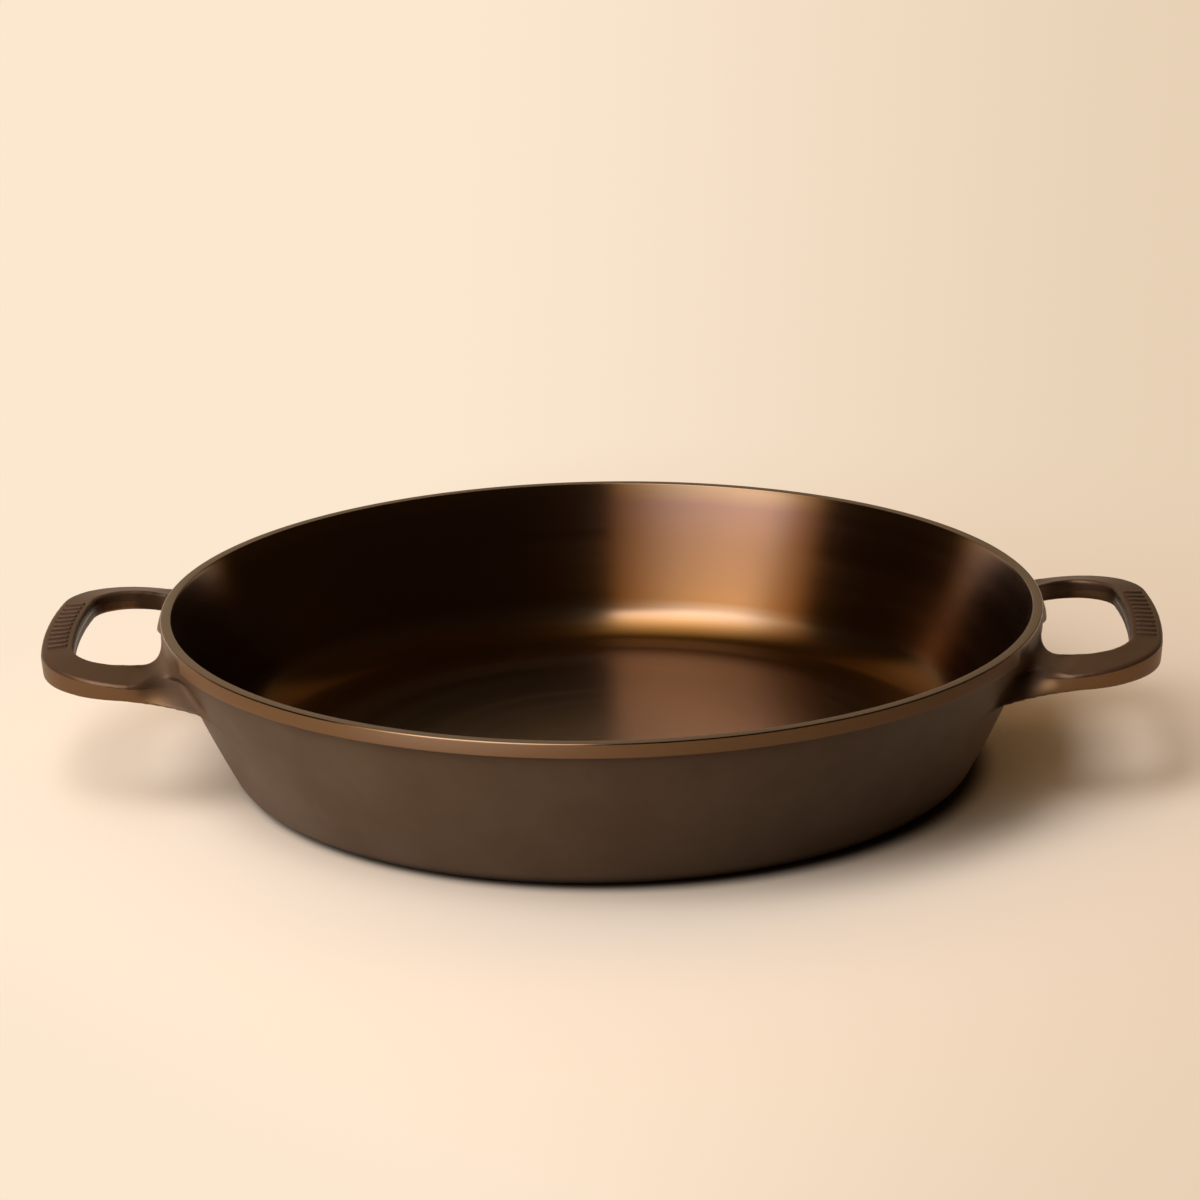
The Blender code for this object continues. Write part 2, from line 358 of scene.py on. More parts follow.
POLISHED_EDGE_BELOW = (0.65 * MM, 0.45 * MM)
TURNED_ROUGHNESS = 0.2
FLOOR_EXTRA_ROUGHNESS = 0.04
FLOOR_FADE_HEIGHTS = (5.5 * MM, 10 * MM)
SATIN_ROUGHNESS = 0.42
SATIN_METAL = 0.2
SATIN_SHEEN_LEVEL = 0.3
MARK_ROUGHNESS_CHANGE = 0.12
STRETCHED_SHINE = 0.5
STRETCHED_SHINE_TURN = 0.25


def turned_iron(floor_radius):
    material, board = new_material("turned_iron")
    where = board.node("ShaderNodeTexCoord", output="Object")
    x = board.node("ShaderNodeSeparateXYZ", {}, {0: where})
    y = x.also("Y")
    z = x.also("Z")
    radius = (x * x + y * y).math("SQRT")
    along = radius + z * MARKS_BY_HEIGHT
    around = {0: x * MARKS_ROUND_PAN, 1: y * MARKS_ROUND_PAN, 2: along}
    around = board.node("ShaderNodeCombineXYZ", {}, around)
    marks = noise(board, around, MARK_PITCH, detail=4.0)
    broad_marks = noise(board, around, BROAD_MARK_PITCH, detail=2.0)
    blotches = noise(board, where, SEASON_BLOTCH_SIZE, detail=3.0)

    zone_reach = rim_height - ZONES_FROM
    stops = [((mm * MM - ZONES_FROM) / zone_reach, (*colour, 1.0)) for mm, colour in TURNED_ZONES]
    rise = z - FLOOR_SPREAD * (floor_radius - radius).math("MAXIMUM", 0.0)
    # Seasoning tone and painted reflections, set by height.
    season_and_reflections = board.node("ShaderNodeValToRGB", {"stops": stops}, {0: (rise - ZONES_FROM) / zone_reach})
    blotched = (blotches - SEASON_BLOTCH_START) * SEASON_BLOTCH_SHARE
    season_and_reflections = mix_colours(board, blotched, season_and_reflections, SEASON_BROWN)

    on_rim = ramp_share(board, z, rim_height - RIM_FADE_BELOW[0], rim_height - RIM_FADE_BELOW[1])
    edge_foot, edge_top = POLISHED_EDGE_BELOW
    below_edge = 1 - ramp_share(board, z, rim_height - edge_foot, rim_height - edge_top)
    on_band = ramp_share(board, radius, RIM_RADIUS - BAND_FADE_INSET[0], RIM_RADIUS - BAND_FADE_INSET[1])
    on_band = on_band * below_edge
    satin = on_rim + on_band
    colour = mix_colours(board, on_rim, mix_colours(board, on_band, season_and_reflections, BAND_BRONZE), RIM_TAN)
    polish = TURNED_ROUGHNESS + (1 - ramp_share(board, z, *FLOOR_FADE_HEIGHTS)) * FLOOR_EXTRA_ROUGHNESS
    roughness = blended(polish, SATIN_ROUGHNESS, satin) + (broad_marks - 0.5) * MARK_ROUGHNESS_CHANGE
    finish_material(board, {
        "Base Color": colour,
        "Metallic": 1 - satin * (1 - SATIN_METAL),
        "Specular IOR Level": SATIN_SHEEN_LEVEL,
        "Roughness": roughness,
        "Anisotropic": STRETCHED_SHINE,
        "Anisotropic Rotation": STRETCHED_SHINE_TURN,
        "Normal": board.node("ShaderNodeBump", {}, {"Height": marks * MARK_DEPTH, "Distance": 1.0}),
    })
    return material


# The cast skin covers the outside, the handles and the bars. It is dull and pebbled, and near the floor
# the heel is painted near black, standing for the shade under it. On the handles it is bronze at the
# sides, and painted shade makes it a darker plum on top, umber at the roots and dark on the inner faces
# of the openings. It is rubbed smoother along the top edges.

CAST_OLIVE = (0.180, 0.109, 0.064, 1.0)
CAST_UMBER = (0.155, 0.090, 0.052, 1.0)
CAST_BLOTCH_SIZE = 35 * MM
CAST_BLOTCH_RANGE = (0.3, 0.7)
# Painted shade: the heel near the floor is painted near black, standing for the shade under it.
HEEL_PAINTED_SHADE = (0.030, 0.018, 0.011, 1.0)
HEEL_PAINTED_SHADE_HEIGHTS = (1.5 * MM, 5 * MM)
CAST_METAL = 0.0
CAST_SHEEN_LEVEL = 0.2
CAST_ROUGHNESS = 0.5
CAST_ROUGHNESS_CHANGE = 0.06
CAST_GRAIN_SIZE = 1.1 * MM
CAST_GRAIN_DEPTH = 0.05 * MM
HANDLE_GRAIN_DEPTH = 0.03 * MM
HANDLE_FADE = (0.4 * MM, 14 * MM)
HANDLE_METAL = 0.65
HANDLE_ROUGHNESS = 0.47
WORN_EDGE_ROUGHNESS = 0.27
HANDLE_BRONZE = (0.192, 0.100, 0.045, 1.0)
# Painted shade: the top faces of the handles are painted a darker plum than the sides.
HANDLE_PLUM_TOP_SHADE = (0.104, 0.058, 0.037, 1.0)
PLUM_TOP_SHADE_SHARES = (0.75, 1.0)
HANDLE_TOP_HEIGHT = 56.3 * MM
HANDLE_TOP_RISE = 0.113
HANDLE_REFERENCE_X = 196 * MM
TOP_FADE = (-1.7 * MM, -0.5 * MM)
# Painted shade: umber darkening at the roots, where the arms meet the wall.
ROOT_UMBER_SHADE = (0.100, 0.058, 0.034, 1.0)
ROOT_SHADE_SHARE = 0.7
ROOT_SHADE_FADE_IN = (0.4 * MM, 3 * MM)
ROOT_SHADE_FADE_OUT = (8 * MM, 18 * MM)
# Painted shade: the inner faces of the handle openings are painted dark.
OPENING_SHADE = (0.036, 0.018, 0.008, 1.0)
OPENING_HALF_WIDTH = 48.5 * MM
OPENING_END = 212 * MM
OPENING_CORNER = 19 * MM
OPENING_SHADE_FADE = (0.3 * MM, 1.3 * MM)
OPENING_SHADE_FADE_OFF_WALL = (8 * MM, 20 * MM)
END_BOW = 1.8


def cast_iron():
    material, board = new_material("cast_iron")
    where = board.node("ShaderNodeTexCoord", output="Object")
    x = board.node("ShaderNodeSeparateXYZ", {}, {0: where})
    y = x.also("Y")
    z = x.also("Z")
    off_wall = (x * x + y * y).math("SQRT") - WALL_TOP_RADIUS
    off_wall = off_wall + (rim_height - BAND_HEIGHT - z) * math.tan(WALL_TOP_ANGLE)
    on_handle = ramp_share(board, off_wall, *HANDLE_FADE)
    skin = ramp_share(board, noise(board, where, CAST_BLOTCH_SIZE, detail=4.0), *CAST_BLOTCH_RANGE)
    wall_colour = mix_colours(board, skin, CAST_OLIVE, CAST_UMBER)
    # Painted shade at the heel.
    above_heel_shade = ramp_share(board, z, *HEEL_PAINTED_SHADE_HEIGHTS)
    wall_colour = mix_colours(board, above_heel_shade, HEEL_PAINTED_SHADE, wall_colour)

    over_top = z - HANDLE_TOP_HEIGHT - (abs(x) - HANDLE_REFERENCE_X) * HANDLE_TOP_RISE
    on_top = ramp_share(board, over_top, *TOP_FADE)
    on_edge = on_top * (1 - on_top) * 4
    # Painted shade on the top faces.
    top_shade_share = on_top * blended(*PLUM_TOP_SHADE_SHARES, skin)
    handle_colour = mix_colours(board, top_shade_share, HANDLE_BRONZE, HANDLE_PLUM_TOP_SHADE)

    # Painted shade on the inner faces of the openings.
    over_end = (abs(x) + END_BOW * y * y - (OPENING_END - OPENING_CORNER)).math("MAXIMUM", 0.0)
    over_side = (abs(y) - (OPENING_HALF_WIDTH - OPENING_CORNER)).math("MAXIMUM", 0.0)
    off_opening = (over_end * over_end + over_side * over_side).math("SQRT") - OPENING_CORNER
    in_opening_shade = 1 - ramp_share(board, off_opening, *OPENING_SHADE_FADE)
    in_opening_shade = in_opening_shade * ramp_share(board, off_wall, *OPENING_SHADE_FADE_OFF_WALL)
    handle_colour = mix_colours(board, in_opening_shade, handle_colour, OPENING_SHADE)

    # Painted shade at the roots.
    in_root_shade = ramp_share(board, off_wall, *ROOT_SHADE_FADE_IN) * (1 - ramp_share(board, off_wall, *ROOT_SHADE_FADE_OUT))
    colour = mix_colours(board, on_handle, wall_colour, handle_colour)
    handle_roughness = blended(HANDLE_ROUGHNESS, WORN_EDGE_ROUGHNESS, on_edge)
    roughness = blended(CAST_ROUGHNESS, handle_roughness, on_handle) + (skin - 0.5) * CAST_ROUGHNESS_CHANGE
    grain_depth = blended(CAST_GRAIN_DEPTH, HANDLE_GRAIN_DEPTH, on_handle)
    grain = noise(board, where, CAST_GRAIN_SIZE, detail=4.0) * grain_depth
    finish_material(board, {
        "Base Color": mix_colours(board, in_root_shade * ROOT_SHADE_SHARE, colour, ROOT_UMBER_SHADE),
        "Metallic": blended(CAST_METAL, HANDLE_METAL, on_handle),
        "Specular IOR Level": CAST_SHEEN_LEVEL,
        "Roughness": roughness,
        "Normal": board.node("ShaderNodeBump", {}, {"Height": grain, "Distance": 1.0}),
    })
    return material


profile, turned_points = bowl_profile()
turned_material = turned_iron(floor_radius=profile[1].x)
cast_material = cast_iron()

bowl_sizes = {
    "Steps": TURNED_STEPS,
    "Turned Points": turned_points,
    "Rim Radius": RIM_RADIUS,
    "Rim Height": rim_height,
    "Band Middle": rim_height - BAND_HEIGHT / 2 - BAND_STEP_HEIGHT,
    "Band Reach": BAND_HEIGHT / 2 + BAND_STEP_HEIGHT,
    "Band Fade": 1.05,
    "Ground Lean": GROUND_LEAN,
    **GROUND_BESIDE_ARM,
    "Seal Distance": SEAL_DISTANCE,
}
board, given = new_tree("turned_bowl", bowl_sizes)
count = board.node("GeometryNodeAttributeDomainSize", {}, {"Geometry": given["Geometry"]}, "Point Count")
sheet = board.node("GeometryNodeMeshGrid", {}, {"Vertices X": given["Steps"] + 1, "Vertices Y": count})
index = board.node("GeometryNodeInputIndex")
along = index.math("MODULO", count)
turn = (index - along) / count * math.tau / given["Steps"]
here = board.node("GeometryNodeInputPosition")
sample = {"Geometry": given["Geometry"], "Value": here, "Index": along}
point = board.node("GeometryNodeSampleIndex", {"data_type": "FLOAT_VECTOR"}, sample)
radius = board.node("ShaderNodeSeparateXYZ", {}, {0: point})
z = radius.also("Z")
aside = abs(turn.math("SINE"))
by_arm = ramp_share(board, aside, given["Arm Start"], given["Arm Full"])
by_arm = by_arm * (1 - ramp_share(board, aside, given["Arm Fade"], given["Arm End"]))
off_band = abs(z - given["Band Middle"])
on_band = 1 - ramp_share(board, off_band, given["Band Reach"], given["Band Reach"] * given["Band Fade"])
ground = given["Rim Radius"] - (given["Rim Height"] - z) * given["Ground Lean"]
ground = radius.math("MINIMUM", ground)
radius = radius + (ground - radius) * by_arm * on_band
turned_point = board.node("ShaderNodeCombineXYZ", {}, {
    0: radius * turn.math("COSINE"), 1: radius * turn.math("SINE"), 2: z,
})
bowl = board.node("GeometryNodeSetPosition", {}, {"Geometry": sheet, "Position": turned_point})
bowl = board.node("GeometryNodeFlipFaces", {}, {"Mesh": bowl})
bowl = board.node("GeometryNodeSetMaterial", {}, {"Geometry": bowl, "Material": turned_material})
along_points = board.node("GeometryNodeFieldOnDomain", {"domain": "POINT"}, {"Value": along})
is_cast = along_points.math("GREATER_THAN", given["Turned Points"] - 1)
bowl = board.node("GeometryNodeSetMaterial", {}, {
    "Geometry": bowl, "Selection": is_cast, "Material": cast_material,
})
bowl = board.node("GeometryNodeMergeByDistance", {}, {"Geometry": bowl, "Distance": given["Seal Distance"]})
board.node("NodeGroupOutput", {}, {"Geometry": bowl})

pan_bowl = mesh_object(
    "pan_bowl",
    [(radius, 0.0, z) for radius, z in profile],
    [(i, i + 1) for i in range(len(profile) - 1)],
)
finished_mesh(pan_bowl, board, bowl_sizes)
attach(pan_bowl, "root")
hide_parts("pan_body")


# Handles. Each real one is a flat loop with rounded corners and a bowed end, cast on to the wall. Its
# top face slopes outwards, and where an arm meets the wall its side is scooped into a gusset.
# Here nodes weigh every point of a grid by its distance from that loop, and skin what is inside it.

HANDLE_SIZES = {
    "Tip Outer": 225.5 * MM,
    "Tip Inner": OPENING_END,
    "End Bow": END_BOW,
    "Half Width Outer": 66 * MM,
    "Half Width Inner": OPENING_HALF_WIDTH,
    "Corner Outer": 36.5 * MM,
    "Corner Inner": OPENING_CORNER,
    "Draft": 0.9 * MM,
    "Opening Wall Depth": 1.5 * MM,
    "Opening Root Corner": 24 * MM,
    "Reference X": HANDLE_REFERENCE_X,
    "Top Outer Height": HANDLE_TOP_HEIGHT,
    "Top Outer Rise": HANDLE_TOP_RISE,
    "Top Inner Height": 59.5 * MM,
    "Top Inner Rise": 0.072,
    "Under Outer Height": 48.7 * MM,
    "Under Outer Rise": 0.032,
    "Under Inner Height": 51.4 * MM,
    "Under Inner Rise": 0.07,
    "Root Start": 184 * MM,
    "Root Top Rise": 0.09,
    "Root Flare": 10.5,
    "Under Root Start": 188 * MM,
    "Under Root Drop": 0.14,
    "Scoop X": 174.3 * MM,
    "Scoop Y": 54.8 * MM,
    "Scoop Angle": math.radians(60),
    "Scoop Corner": 5 * MM,
    "Top Edge Round": 1.6 * MM,
    "Under Edge Round": 1.3 * MM,
    "Upper Fillet": 11 * MM,
    "Upper Fillet From": 0.6,
    "Under Fillet": 3 * MM,
    "Wall Depth": 2.2 * MM,
    "Skin Inset": 0.03 * MM,
    "Turn": 0.0,
}
GRID_LOW = Vector((138, -91, 37)) * MM
GRID_HIGH = Vector((229, 91, 69)) * MM
GRID_PITCH = 0.6 * MM
ROOT_HALF_WIDTH = 88 * MM
ROOT_FOOT_Z = 38.6 * MM
ROOT_TOP_Z = 67.1 * MM
DENSITY_FALL = 2 * MM
CORNER_ROUNDS = 8


def corner_place(tip, half_width, radius, bow):
    """The X of the middle of a corner that runs smoothly into the bowed end, and the end's lean there."""
    lean = 0.0
    for _ in range(CORNER_ROUNDS):
        meeting_y = half_width - radius + radius * math.sin(lean)
        lean = math.atan(2 * bow * meeting_y)
    return tip - bow * meeting_y * meeting_y - radius * math.cos(lean), lean


for edge in ("Outer", "Inner"):
    corner_x, lean = corner_place(
        HANDLE_SIZES["Tip " + edge], HANDLE_SIZES["Half Width " + edge],
        HANDLE_SIZES["Corner " + edge], HANDLE_SIZES["End Bow"],
    )
    HANDLE_SIZES["Corner X " + edge] = corner_x
    HANDLE_SIZES["Corner Lean " + edge] = lean


def lower(a, b):
    return a.math("MINIMUM", b)


def higher(a, b):
    return a.math("MAXIMUM", b)


def rounded_meet(a, b, radius):
    """Inside both a and b, with the corner between them rounded."""
    p = a + radius
    q = b + radius
    p_out = higher(p, 0.0)
    q_out = higher(q, 0.0)
    return (p_out * p_out + q_out * q_out).math("SQRT") + lower(higher(p, q), 0.0) - radius


def filleted_join(a, b, reach):
    """Inside either a or b, with a hollow fillet where they meet."""
    near = higher(reach - abs(a - b), 0.0)
    return lower(a, b) - near * near / (reach * 4.0)


def loop_edge(edge, x, y):
    """How far a point is outside the loop's outer or inner edge in plan."""
    end = x + size["End Bow"] * y * y - size["Tip " + edge]
    side = y - size["Half Width " + edge]
    radius = size["Corner " + edge]
    lean = size["Corner Lean " + edge]
    out = x - size["Corner X " + edge]
    over = side + radius
    in_corner = lower(out, over * lean.math("COSINE") - out * lean.math("SINE")).math("GREATER_THAN", 0.0)
    return blended(higher(end, side), (out * out + over * over).math("SQRT") - radius, in_corner)


def wall_distance(radius, z):
    """How far a point is outside the bowl's leaning cast wall, which is taken to run on upwards."""
    below = wall_top_z - z
    growth = (math.tan(WALL_FOOT_ANGLE) - math.tan(WALL_TOP_ANGLE)) / (wall_top_z - wall_foot_z)
    wall_radius = WALL_TOP_RADIUS - below * math.tan(WALL_TOP_ANGLE) - below * below * (growth / 2)
    return (radius - wall_radius) * math.cos((WALL_TOP_ANGLE + WALL_FOOT_ANGLE) / 2)


wall_top_z = rim_height - BAND_HEIGHT - BAND_STEP_HEIGHT
wall_foot_z = HEEL_RADIUS * (1 - math.sin(WALL_FOOT_ANGLE))

board, size = new_tree("loop_handle", HANDLE_SIZES)
here = board.node("GeometryNodeInputPosition")
x = board.node("ShaderNodeSeparateXYZ", {}, {0: here})
y = abs(x.also("Y"))
z = x.also("Z")
radius = (x * x + y * y).math("SQRT")

wall = wall_distance(radius, z)

opening = loop_edge("Inner", x, y)
opening = rounded_meet(opening, -wall - size["Opening Wall Depth"], size["Opening Root Corner"])

outwards = x - size["Reference X"]
into_root = higher(size["Root Start"] - x, 0.0)
into_under_root = higher(size["Under Root Start"] - x, 0.0)
top_outer = size["Top Outer Height"] + size["Top Outer Rise"] * (outwards + into_root)
top_outer = top_outer + size["Root Top Rise"] * into_root
top_inner = size["Top Inner Height"] + size["Top Inner Rise"] * outwards
under_outer = size["Under Outer Height"] + size["Under Outer Rise"] * (outwards + into_under_root)
under_outer = under_outer - size["Under Root Drop"] * into_under_root
under_inner = size["Under Inner Height"] + size["Under Inner Rise"] * outwards

upwards = higher(lower((z - under_outer) / (top_outer - under_outer), 1.0), 0.0)
loop_plan = loop_edge("Outer", x, y)
scoop = (y - size["Scoop Y"]) * size["Scoop Angle"].math("COSINE")
scoop = scoop - (x - size["Scoop X"]) * size["Scoop Angle"].math("SINE")
top_plan = rounded_meet(loop_plan, scoop, size["Scoop Corner"])
under_plan = loop_plan - size["Root Flare"] * into_root * into_root
slant = (top_plan - under_plan) / (top_outer - under_outer)
outline = blended(under_plan, top_plan, upwards) + size["Draft"] * (1 - upwards)
outline = outline / (1 + slant * slant).math("SQRT")

from_outline = higher(-outline, 0.0)
from_opening = higher(opening, 0.0)
across = from_opening / (from_opening + from_outline + SEAL_DISTANCE)
top = z - blended(top_inner, top_outer, across)
under = blended(under_inner, under_outer, across) - z
loop = rounded_meet(higher(outline, -opening), top, size["Top Edge Round"])
loop = rounded_meet(loop, under, size["Under Edge Round"])

band = radius - RIM_RADIUS + (rim_height - z) * GROUND_LEAN
bowl = higher(wall, band) + size["Skin Inset"]
fillet_share = ramp_share(board, upwards, size["Upper Fillet From"], 1.0)
fillet = blended(size["Under Fillet"], size["Upper Fillet"], fillet_share)
solid = filleted_join(loop, bowl, fillet)
solid = higher(solid, -wall - size["Wall Depth"])
solid = higher(higher(solid, z - ROOT_TOP_Z), ROOT_FOOT_Z - z)
solid = higher(solid, y - ROOT_HALF_WIDTH)

grid_cells = [round(side / GRID_PITCH) for side in GRID_HIGH - GRID_LOW]
cloud = board.node("GeometryNodeVolumeCube", {}, {
    "Density": 1 - solid / DENSITY_FALL,
    "Min": GRID_LOW,
    "Max": GRID_HIGH,
    "Resolution X": grid_cells[0],
    "Resolution Y": grid_cells[1],
    "Resolution Z": grid_cells[2],
})
handle = board.node("GeometryNodeVolumeToMesh", {}, {"Volume": cloud, "Threshold": 1.0})
handle = board.node("GeometryNodeTransform", {}, {
    "Geometry": handle,
    "Rotation": board.node("ShaderNodeCombineXYZ", {}, {2: size["Turn"]}),
})
handle = board.node("GeometryNodeSetMaterial", {}, {"Geometry": handle, "Material": cast_material})
board.node("NodeGroupOutput", {}, {"Geometry": handle})

for side, turn in (("right", 0.0), ("left", math.pi)):
    handle = mesh_object("loop_handle_" + side, [], [])
    finished_mesh(handle, board, HANDLE_SIZES | {"Turn": turn})
    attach(handle, "root")
    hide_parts("handle_" + side)


# Bars. The real end bars carry raised words, which are left off. Plain raised bars with rounded ends
# stand in their place, each set square across the end bar and sunk a little into its sloping top.
# Here nodes set them out along the bowed end bar and tilt each one with the face under it.

BAR_SIZES = {
    "Count": 11,
    "Pitch": 5.6 * MM,
    "Length": 8 * MM,
    "Width": 1.8 * MM,
    "Relief": 0.6 * MM,
    "Sunk": 0.8 * MM,
    "Edge Round": 0.3 * MM,
    "End Bow": HANDLE_SIZES["End Bow"],
    "Outer X": HANDLE_SIZES["Tip Outer"],
    "Inner X": HANDLE_SIZES["Tip Inner"],
    "Reference X": HANDLE_SIZES["Reference X"],
    "Outer Height": HANDLE_SIZES["Top Outer Height"],
    "Outer Rise": HANDLE_SIZES["Top Outer Rise"],
    "Inner Height": HANDLE_SIZES["Top Inner Height"],
    "Inner Rise": HANDLE_SIZES["Top Inner Rise"],
    "Turn": 0.0,
}
BAR_END_STEPS = 6
BAR_ROUND_STEPS = 3


def bar_outline():
    """Points round a bar with round ends, each as its end and its place on that end's unit circle."""
    ring = []
    for end in (1, -1):
        for i in range(BAR_END_STEPS + 1):
            angle = math.pi * (i / BAR_END_STEPS - 0.5)
            ring.append((end, end * math.cos(angle), end * math.sin(angle)))
    return ring


def bar_mesh(length, width, relief, sunk, edge_round):
    """One bar with round ends and a rounded top edge, which stands on z = 0 and goes down by sunk."""
    shape = bmesh.new()
    levels = [(-sunk, 0.0)]
    for i in range(BAR_ROUND_STEPS + 1):
        angle = math.pi / 2 * i / BAR_ROUND_STEPS
        levels.append((relief - edge_round * (1 - math.sin(angle)), edge_round * (1 - math.cos(angle))))
    rings = []
    for z, inset in levels:
        radius = width / 2 - inset
        straight = (length - width) / 2
        ring = [(end * straight + x * radius, y * radius, z) for end, x, y in bar_outline()]
        rings.append([shape.verts.new(corner) for corner in ring])
    for low, high in zip(rings, rings[1:]):
        for k in range(len(low)):
            after = (k + 1) % len(low)
            shape.faces.new((low[k], low[after], high[after], high[k]))
    shape.faces.new(rings[-1])
    shape.faces.new(rings[0][::-1])
    mesh = bpy.data.meshes.new("raised_bar")
    shape.to_mesh(mesh)
    shape.free()
    return mesh


bar = bpy.data.objects.new("raised_bar", bar_mesh(
    BAR_SIZES["Length"], BAR_SIZES["Width"], BAR_SIZES["Relief"], BAR_SIZES["Sunk"], BAR_SIZES["Edge Round"],
))
board, size = new_tree("raised_bars", BAR_SIZES)
along = (board.node("GeometryNodeInputIndex") - (size["Count"] - 1) / 2) * size["Pitch"]
bowed_in = size["End Bow"] * along * along
outer_x = size["Outer X"] - bowed_in
inner_x = size["Inner X"] - bowed_in
outer_z = size["Outer Height"] + size["Outer Rise"] * (outer_x - size["Reference X"])
inner_z = size["Inner Height"] + size["Inner Rise"] * (inner_x - size["Reference X"])
slope = ((inner_z - outer_z) / (outer_x - inner_x)).math("ARCTANGENT")
bow_turn = (2 * size["End Bow"] * along).math("ARCTANGENT")
middle = {0: (outer_x + inner_x) / 2, 1: along, 2: (outer_z + inner_z) / 2}
middle = board.node("ShaderNodeCombineXYZ", {}, middle)
places = board.node("GeometryNodeMeshLine", {}, {"Count": size["Count"]})
places = board.node("GeometryNodeSetPosition", {}, {"Geometry": places, "Position": middle})
one_bar = board.node("GeometryNodeObjectInfo", {}, {"Object": bar}, "Geometry")
bars = board.node("GeometryNodeInstanceOnPoints", {}, {
    "Points": places,
    "Instance": one_bar,
    "Rotation": board.node("ShaderNodeCombineXYZ", {}, {1: slope, 2: bow_turn}),
})
bars = board.node("GeometryNodeTransform", {}, {
    "Geometry": bars,
    "Rotation": board.node("ShaderNodeCombineXYZ", {}, {2: size["Turn"]}),
})
bars = board.node("GeometryNodeRealizeInstances", {}, {"Geometry": bars})
bars = board.node("GeometryNodeSetMaterial", {}, {"Geometry": bars, "Material": cast_material})
board.node("NodeGroupOutput", {}, {"Geometry": bars})

for side, turn in (("right", 0.0), ("left", math.pi)):
    bars = mesh_object("raised_bars_" + side, [], [])
    finished_mesh(bars, board, BAR_SIZES | {"Turn": turn})
    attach(bars, "root")
bpy.data.objects.remove(bar)


# Floor and backdrop. A wide sheet of pale cream paper, with a painted contact shadow, dark under the pan
# and fading out just beyond its foot. Away from the pan it shows its own colour to the camera and to the
# metal, so that it stays even however far it runs, and that colour is painted a little dimmer to the
# right, as a painted fall-off of the light. It gives back only a little light to the pan.

PAPER_CREAM = (0.955, 0.812, 0.680, 1.0)
PAPER_BOUNCE = (0.110, 0.092, 0.072, 1.0)
# Painted fall-off of light: the far paper's colour grows dimmer from left to right.
PAPER_LEFT = (0.970, 0.805, 0.625, 1.0)
PAPER_RIGHT = (0.800, 0.635, 0.462, 1.0)
PAPER_RADIUS = 30.0
# Painted contact shadow at the pan's foot.
CONTACT_SHADOW_BROWN = (0.060, 0.040, 0.028, 1.0)
CONTACT_SHADOW_PLACE = Vector((5.5, 0.5)) * MM
CONTACT_SHADOW_RADII = (143.5 * MM, 156.5 * MM)
SHADED_SIDE = (-220 * MM, 20 * MM)
SHADED_RADII = (190 * MM, 530 * MM)
BRIGHT_RADII = (150 * MM, 370 * MM)
DIMMING_RANGE = (-0.06, 0.15)
DIMMING_FOLD = 0.5
DIMMING_SPREAD = 1.2

material, board = new_material("paper")
where = board.node("ShaderNodeTexCoord", output="Object")
x = board.node("ShaderNodeSeparateXYZ", {}, {0: where})
y = x.also("Y")
distance = (x * x + y * y).math("SQRT")
shaded = ramp_share(board, x, *SHADED_SIDE)
shade_start = blended(BRIGHT_RADII[0], SHADED_RADII[0], shaded)
shade_end = blended(BRIGHT_RADII[1], SHADED_RADII[1], shaded)
away_from_pan = ramp_share(board, distance, shade_start, shade_end)
# Painted fall-off of light to the right.
dimming = ramp_share(board, x / (abs(y + DIMMING_FOLD) + DIMMING_SPREAD), *DIMMING_RANGE)

# Painted contact shadow: a dark disc round the foot, a little off centre.
beside = x - CONTACT_SHADOW_PLACE.x
before = y - CONTACT_SHADOW_PLACE.y
off_foot = (beside * beside + before * before).math("SQRT")
cream = mix_colours(board, ramp_share(board, off_foot, *CONTACT_SHADOW_RADII), CONTACT_SHADOW_BROWN, PAPER_CREAM)

rays = board.node("ShaderNodeLightPath", output="Is Camera Ray")
seen = rays.math("MAXIMUM", rays.also("Is Glossy Ray")).math("MAXIMUM", rays.also("Is Transmission Ray"))
bounce = mix_colours(board, rays.also("Is Diffuse Ray"), cream, PAPER_BOUNCE)
paper = board.node("ShaderNodeBsdfDiffuse", {}, {"Color": bounce})
glow = board.node("ShaderNodeEmission", {}, {"Color": mix_colours(board, dimming, PAPER_LEFT, PAPER_RIGHT)})
surface = board.node("ShaderNodeMixShader", {}, {0: away_from_pan * seen, 1: paper, 2: glow})
board.node("ShaderNodeOutputMaterial", {}, {"Surface": surface})

floor_mesh = bpy.data.meshes.new("paper_floor")
corners = [
    (across * PAPER_RADIUS, back * PAPER_RADIUS, base_height)
    for across, back in ((-1, -1), (1, -1), (1, 1), (-1, 1))
]
floor_mesh.from_pydata(corners, [], [(0, 1, 2, 3)])
floor_mesh.materials.append(material)
paper_floor = bpy.data.objects.new("paper_floor", floor_mesh)
bpy.context.scene.collection.objects.link(paper_floor)


# Light. One large soft box leans over the pan from the front left, its right edge straight ahead of the
# pan. Its sheet is brightest a fifth of the way up, and warm and dim towards its sides. The room in front
# is dark. Pale paper stands behind, which shines in the metal and throws a warm glow down on the pan.

BOX_LEFT_X = -2.80
BOX_RIGHT_X = -0.06
BOX_FOOT = Vector((0.0, -1.45, 0.45))
BOX_HEAD = Vector((0.0, 1.70, 5.04))
BOX_BRIGHTNESS = 6.35
BOX_WHITE = (1.0, 1.0, 1.0, 1.0)
DIM_ORANGE = (1.0, 0.62, 0.20, 1.0)
WHITE_FROM_SHARE = 0.8
BRIGHT_ACROSS = (
    (0.0, 0.0), (0.11, 0.12), (0.24, 0.31), (0.33, 0.40), (0.43, 0.67),
    (0.54, 0.97), (0.69, 1.0), (0.80, 0.88), (0.88, 0.62), (1.0, 0.19),
)
BRIGHT_UP = (
    (0.0, 0.50), (0.11, 0.55), (0.17, 1.0), (0.23, 1.0), (0.31, 0.75),
    (0.37, 0.54), (0.5, 0.31), (0.67, 0.2), (1.0, 0.1),
)
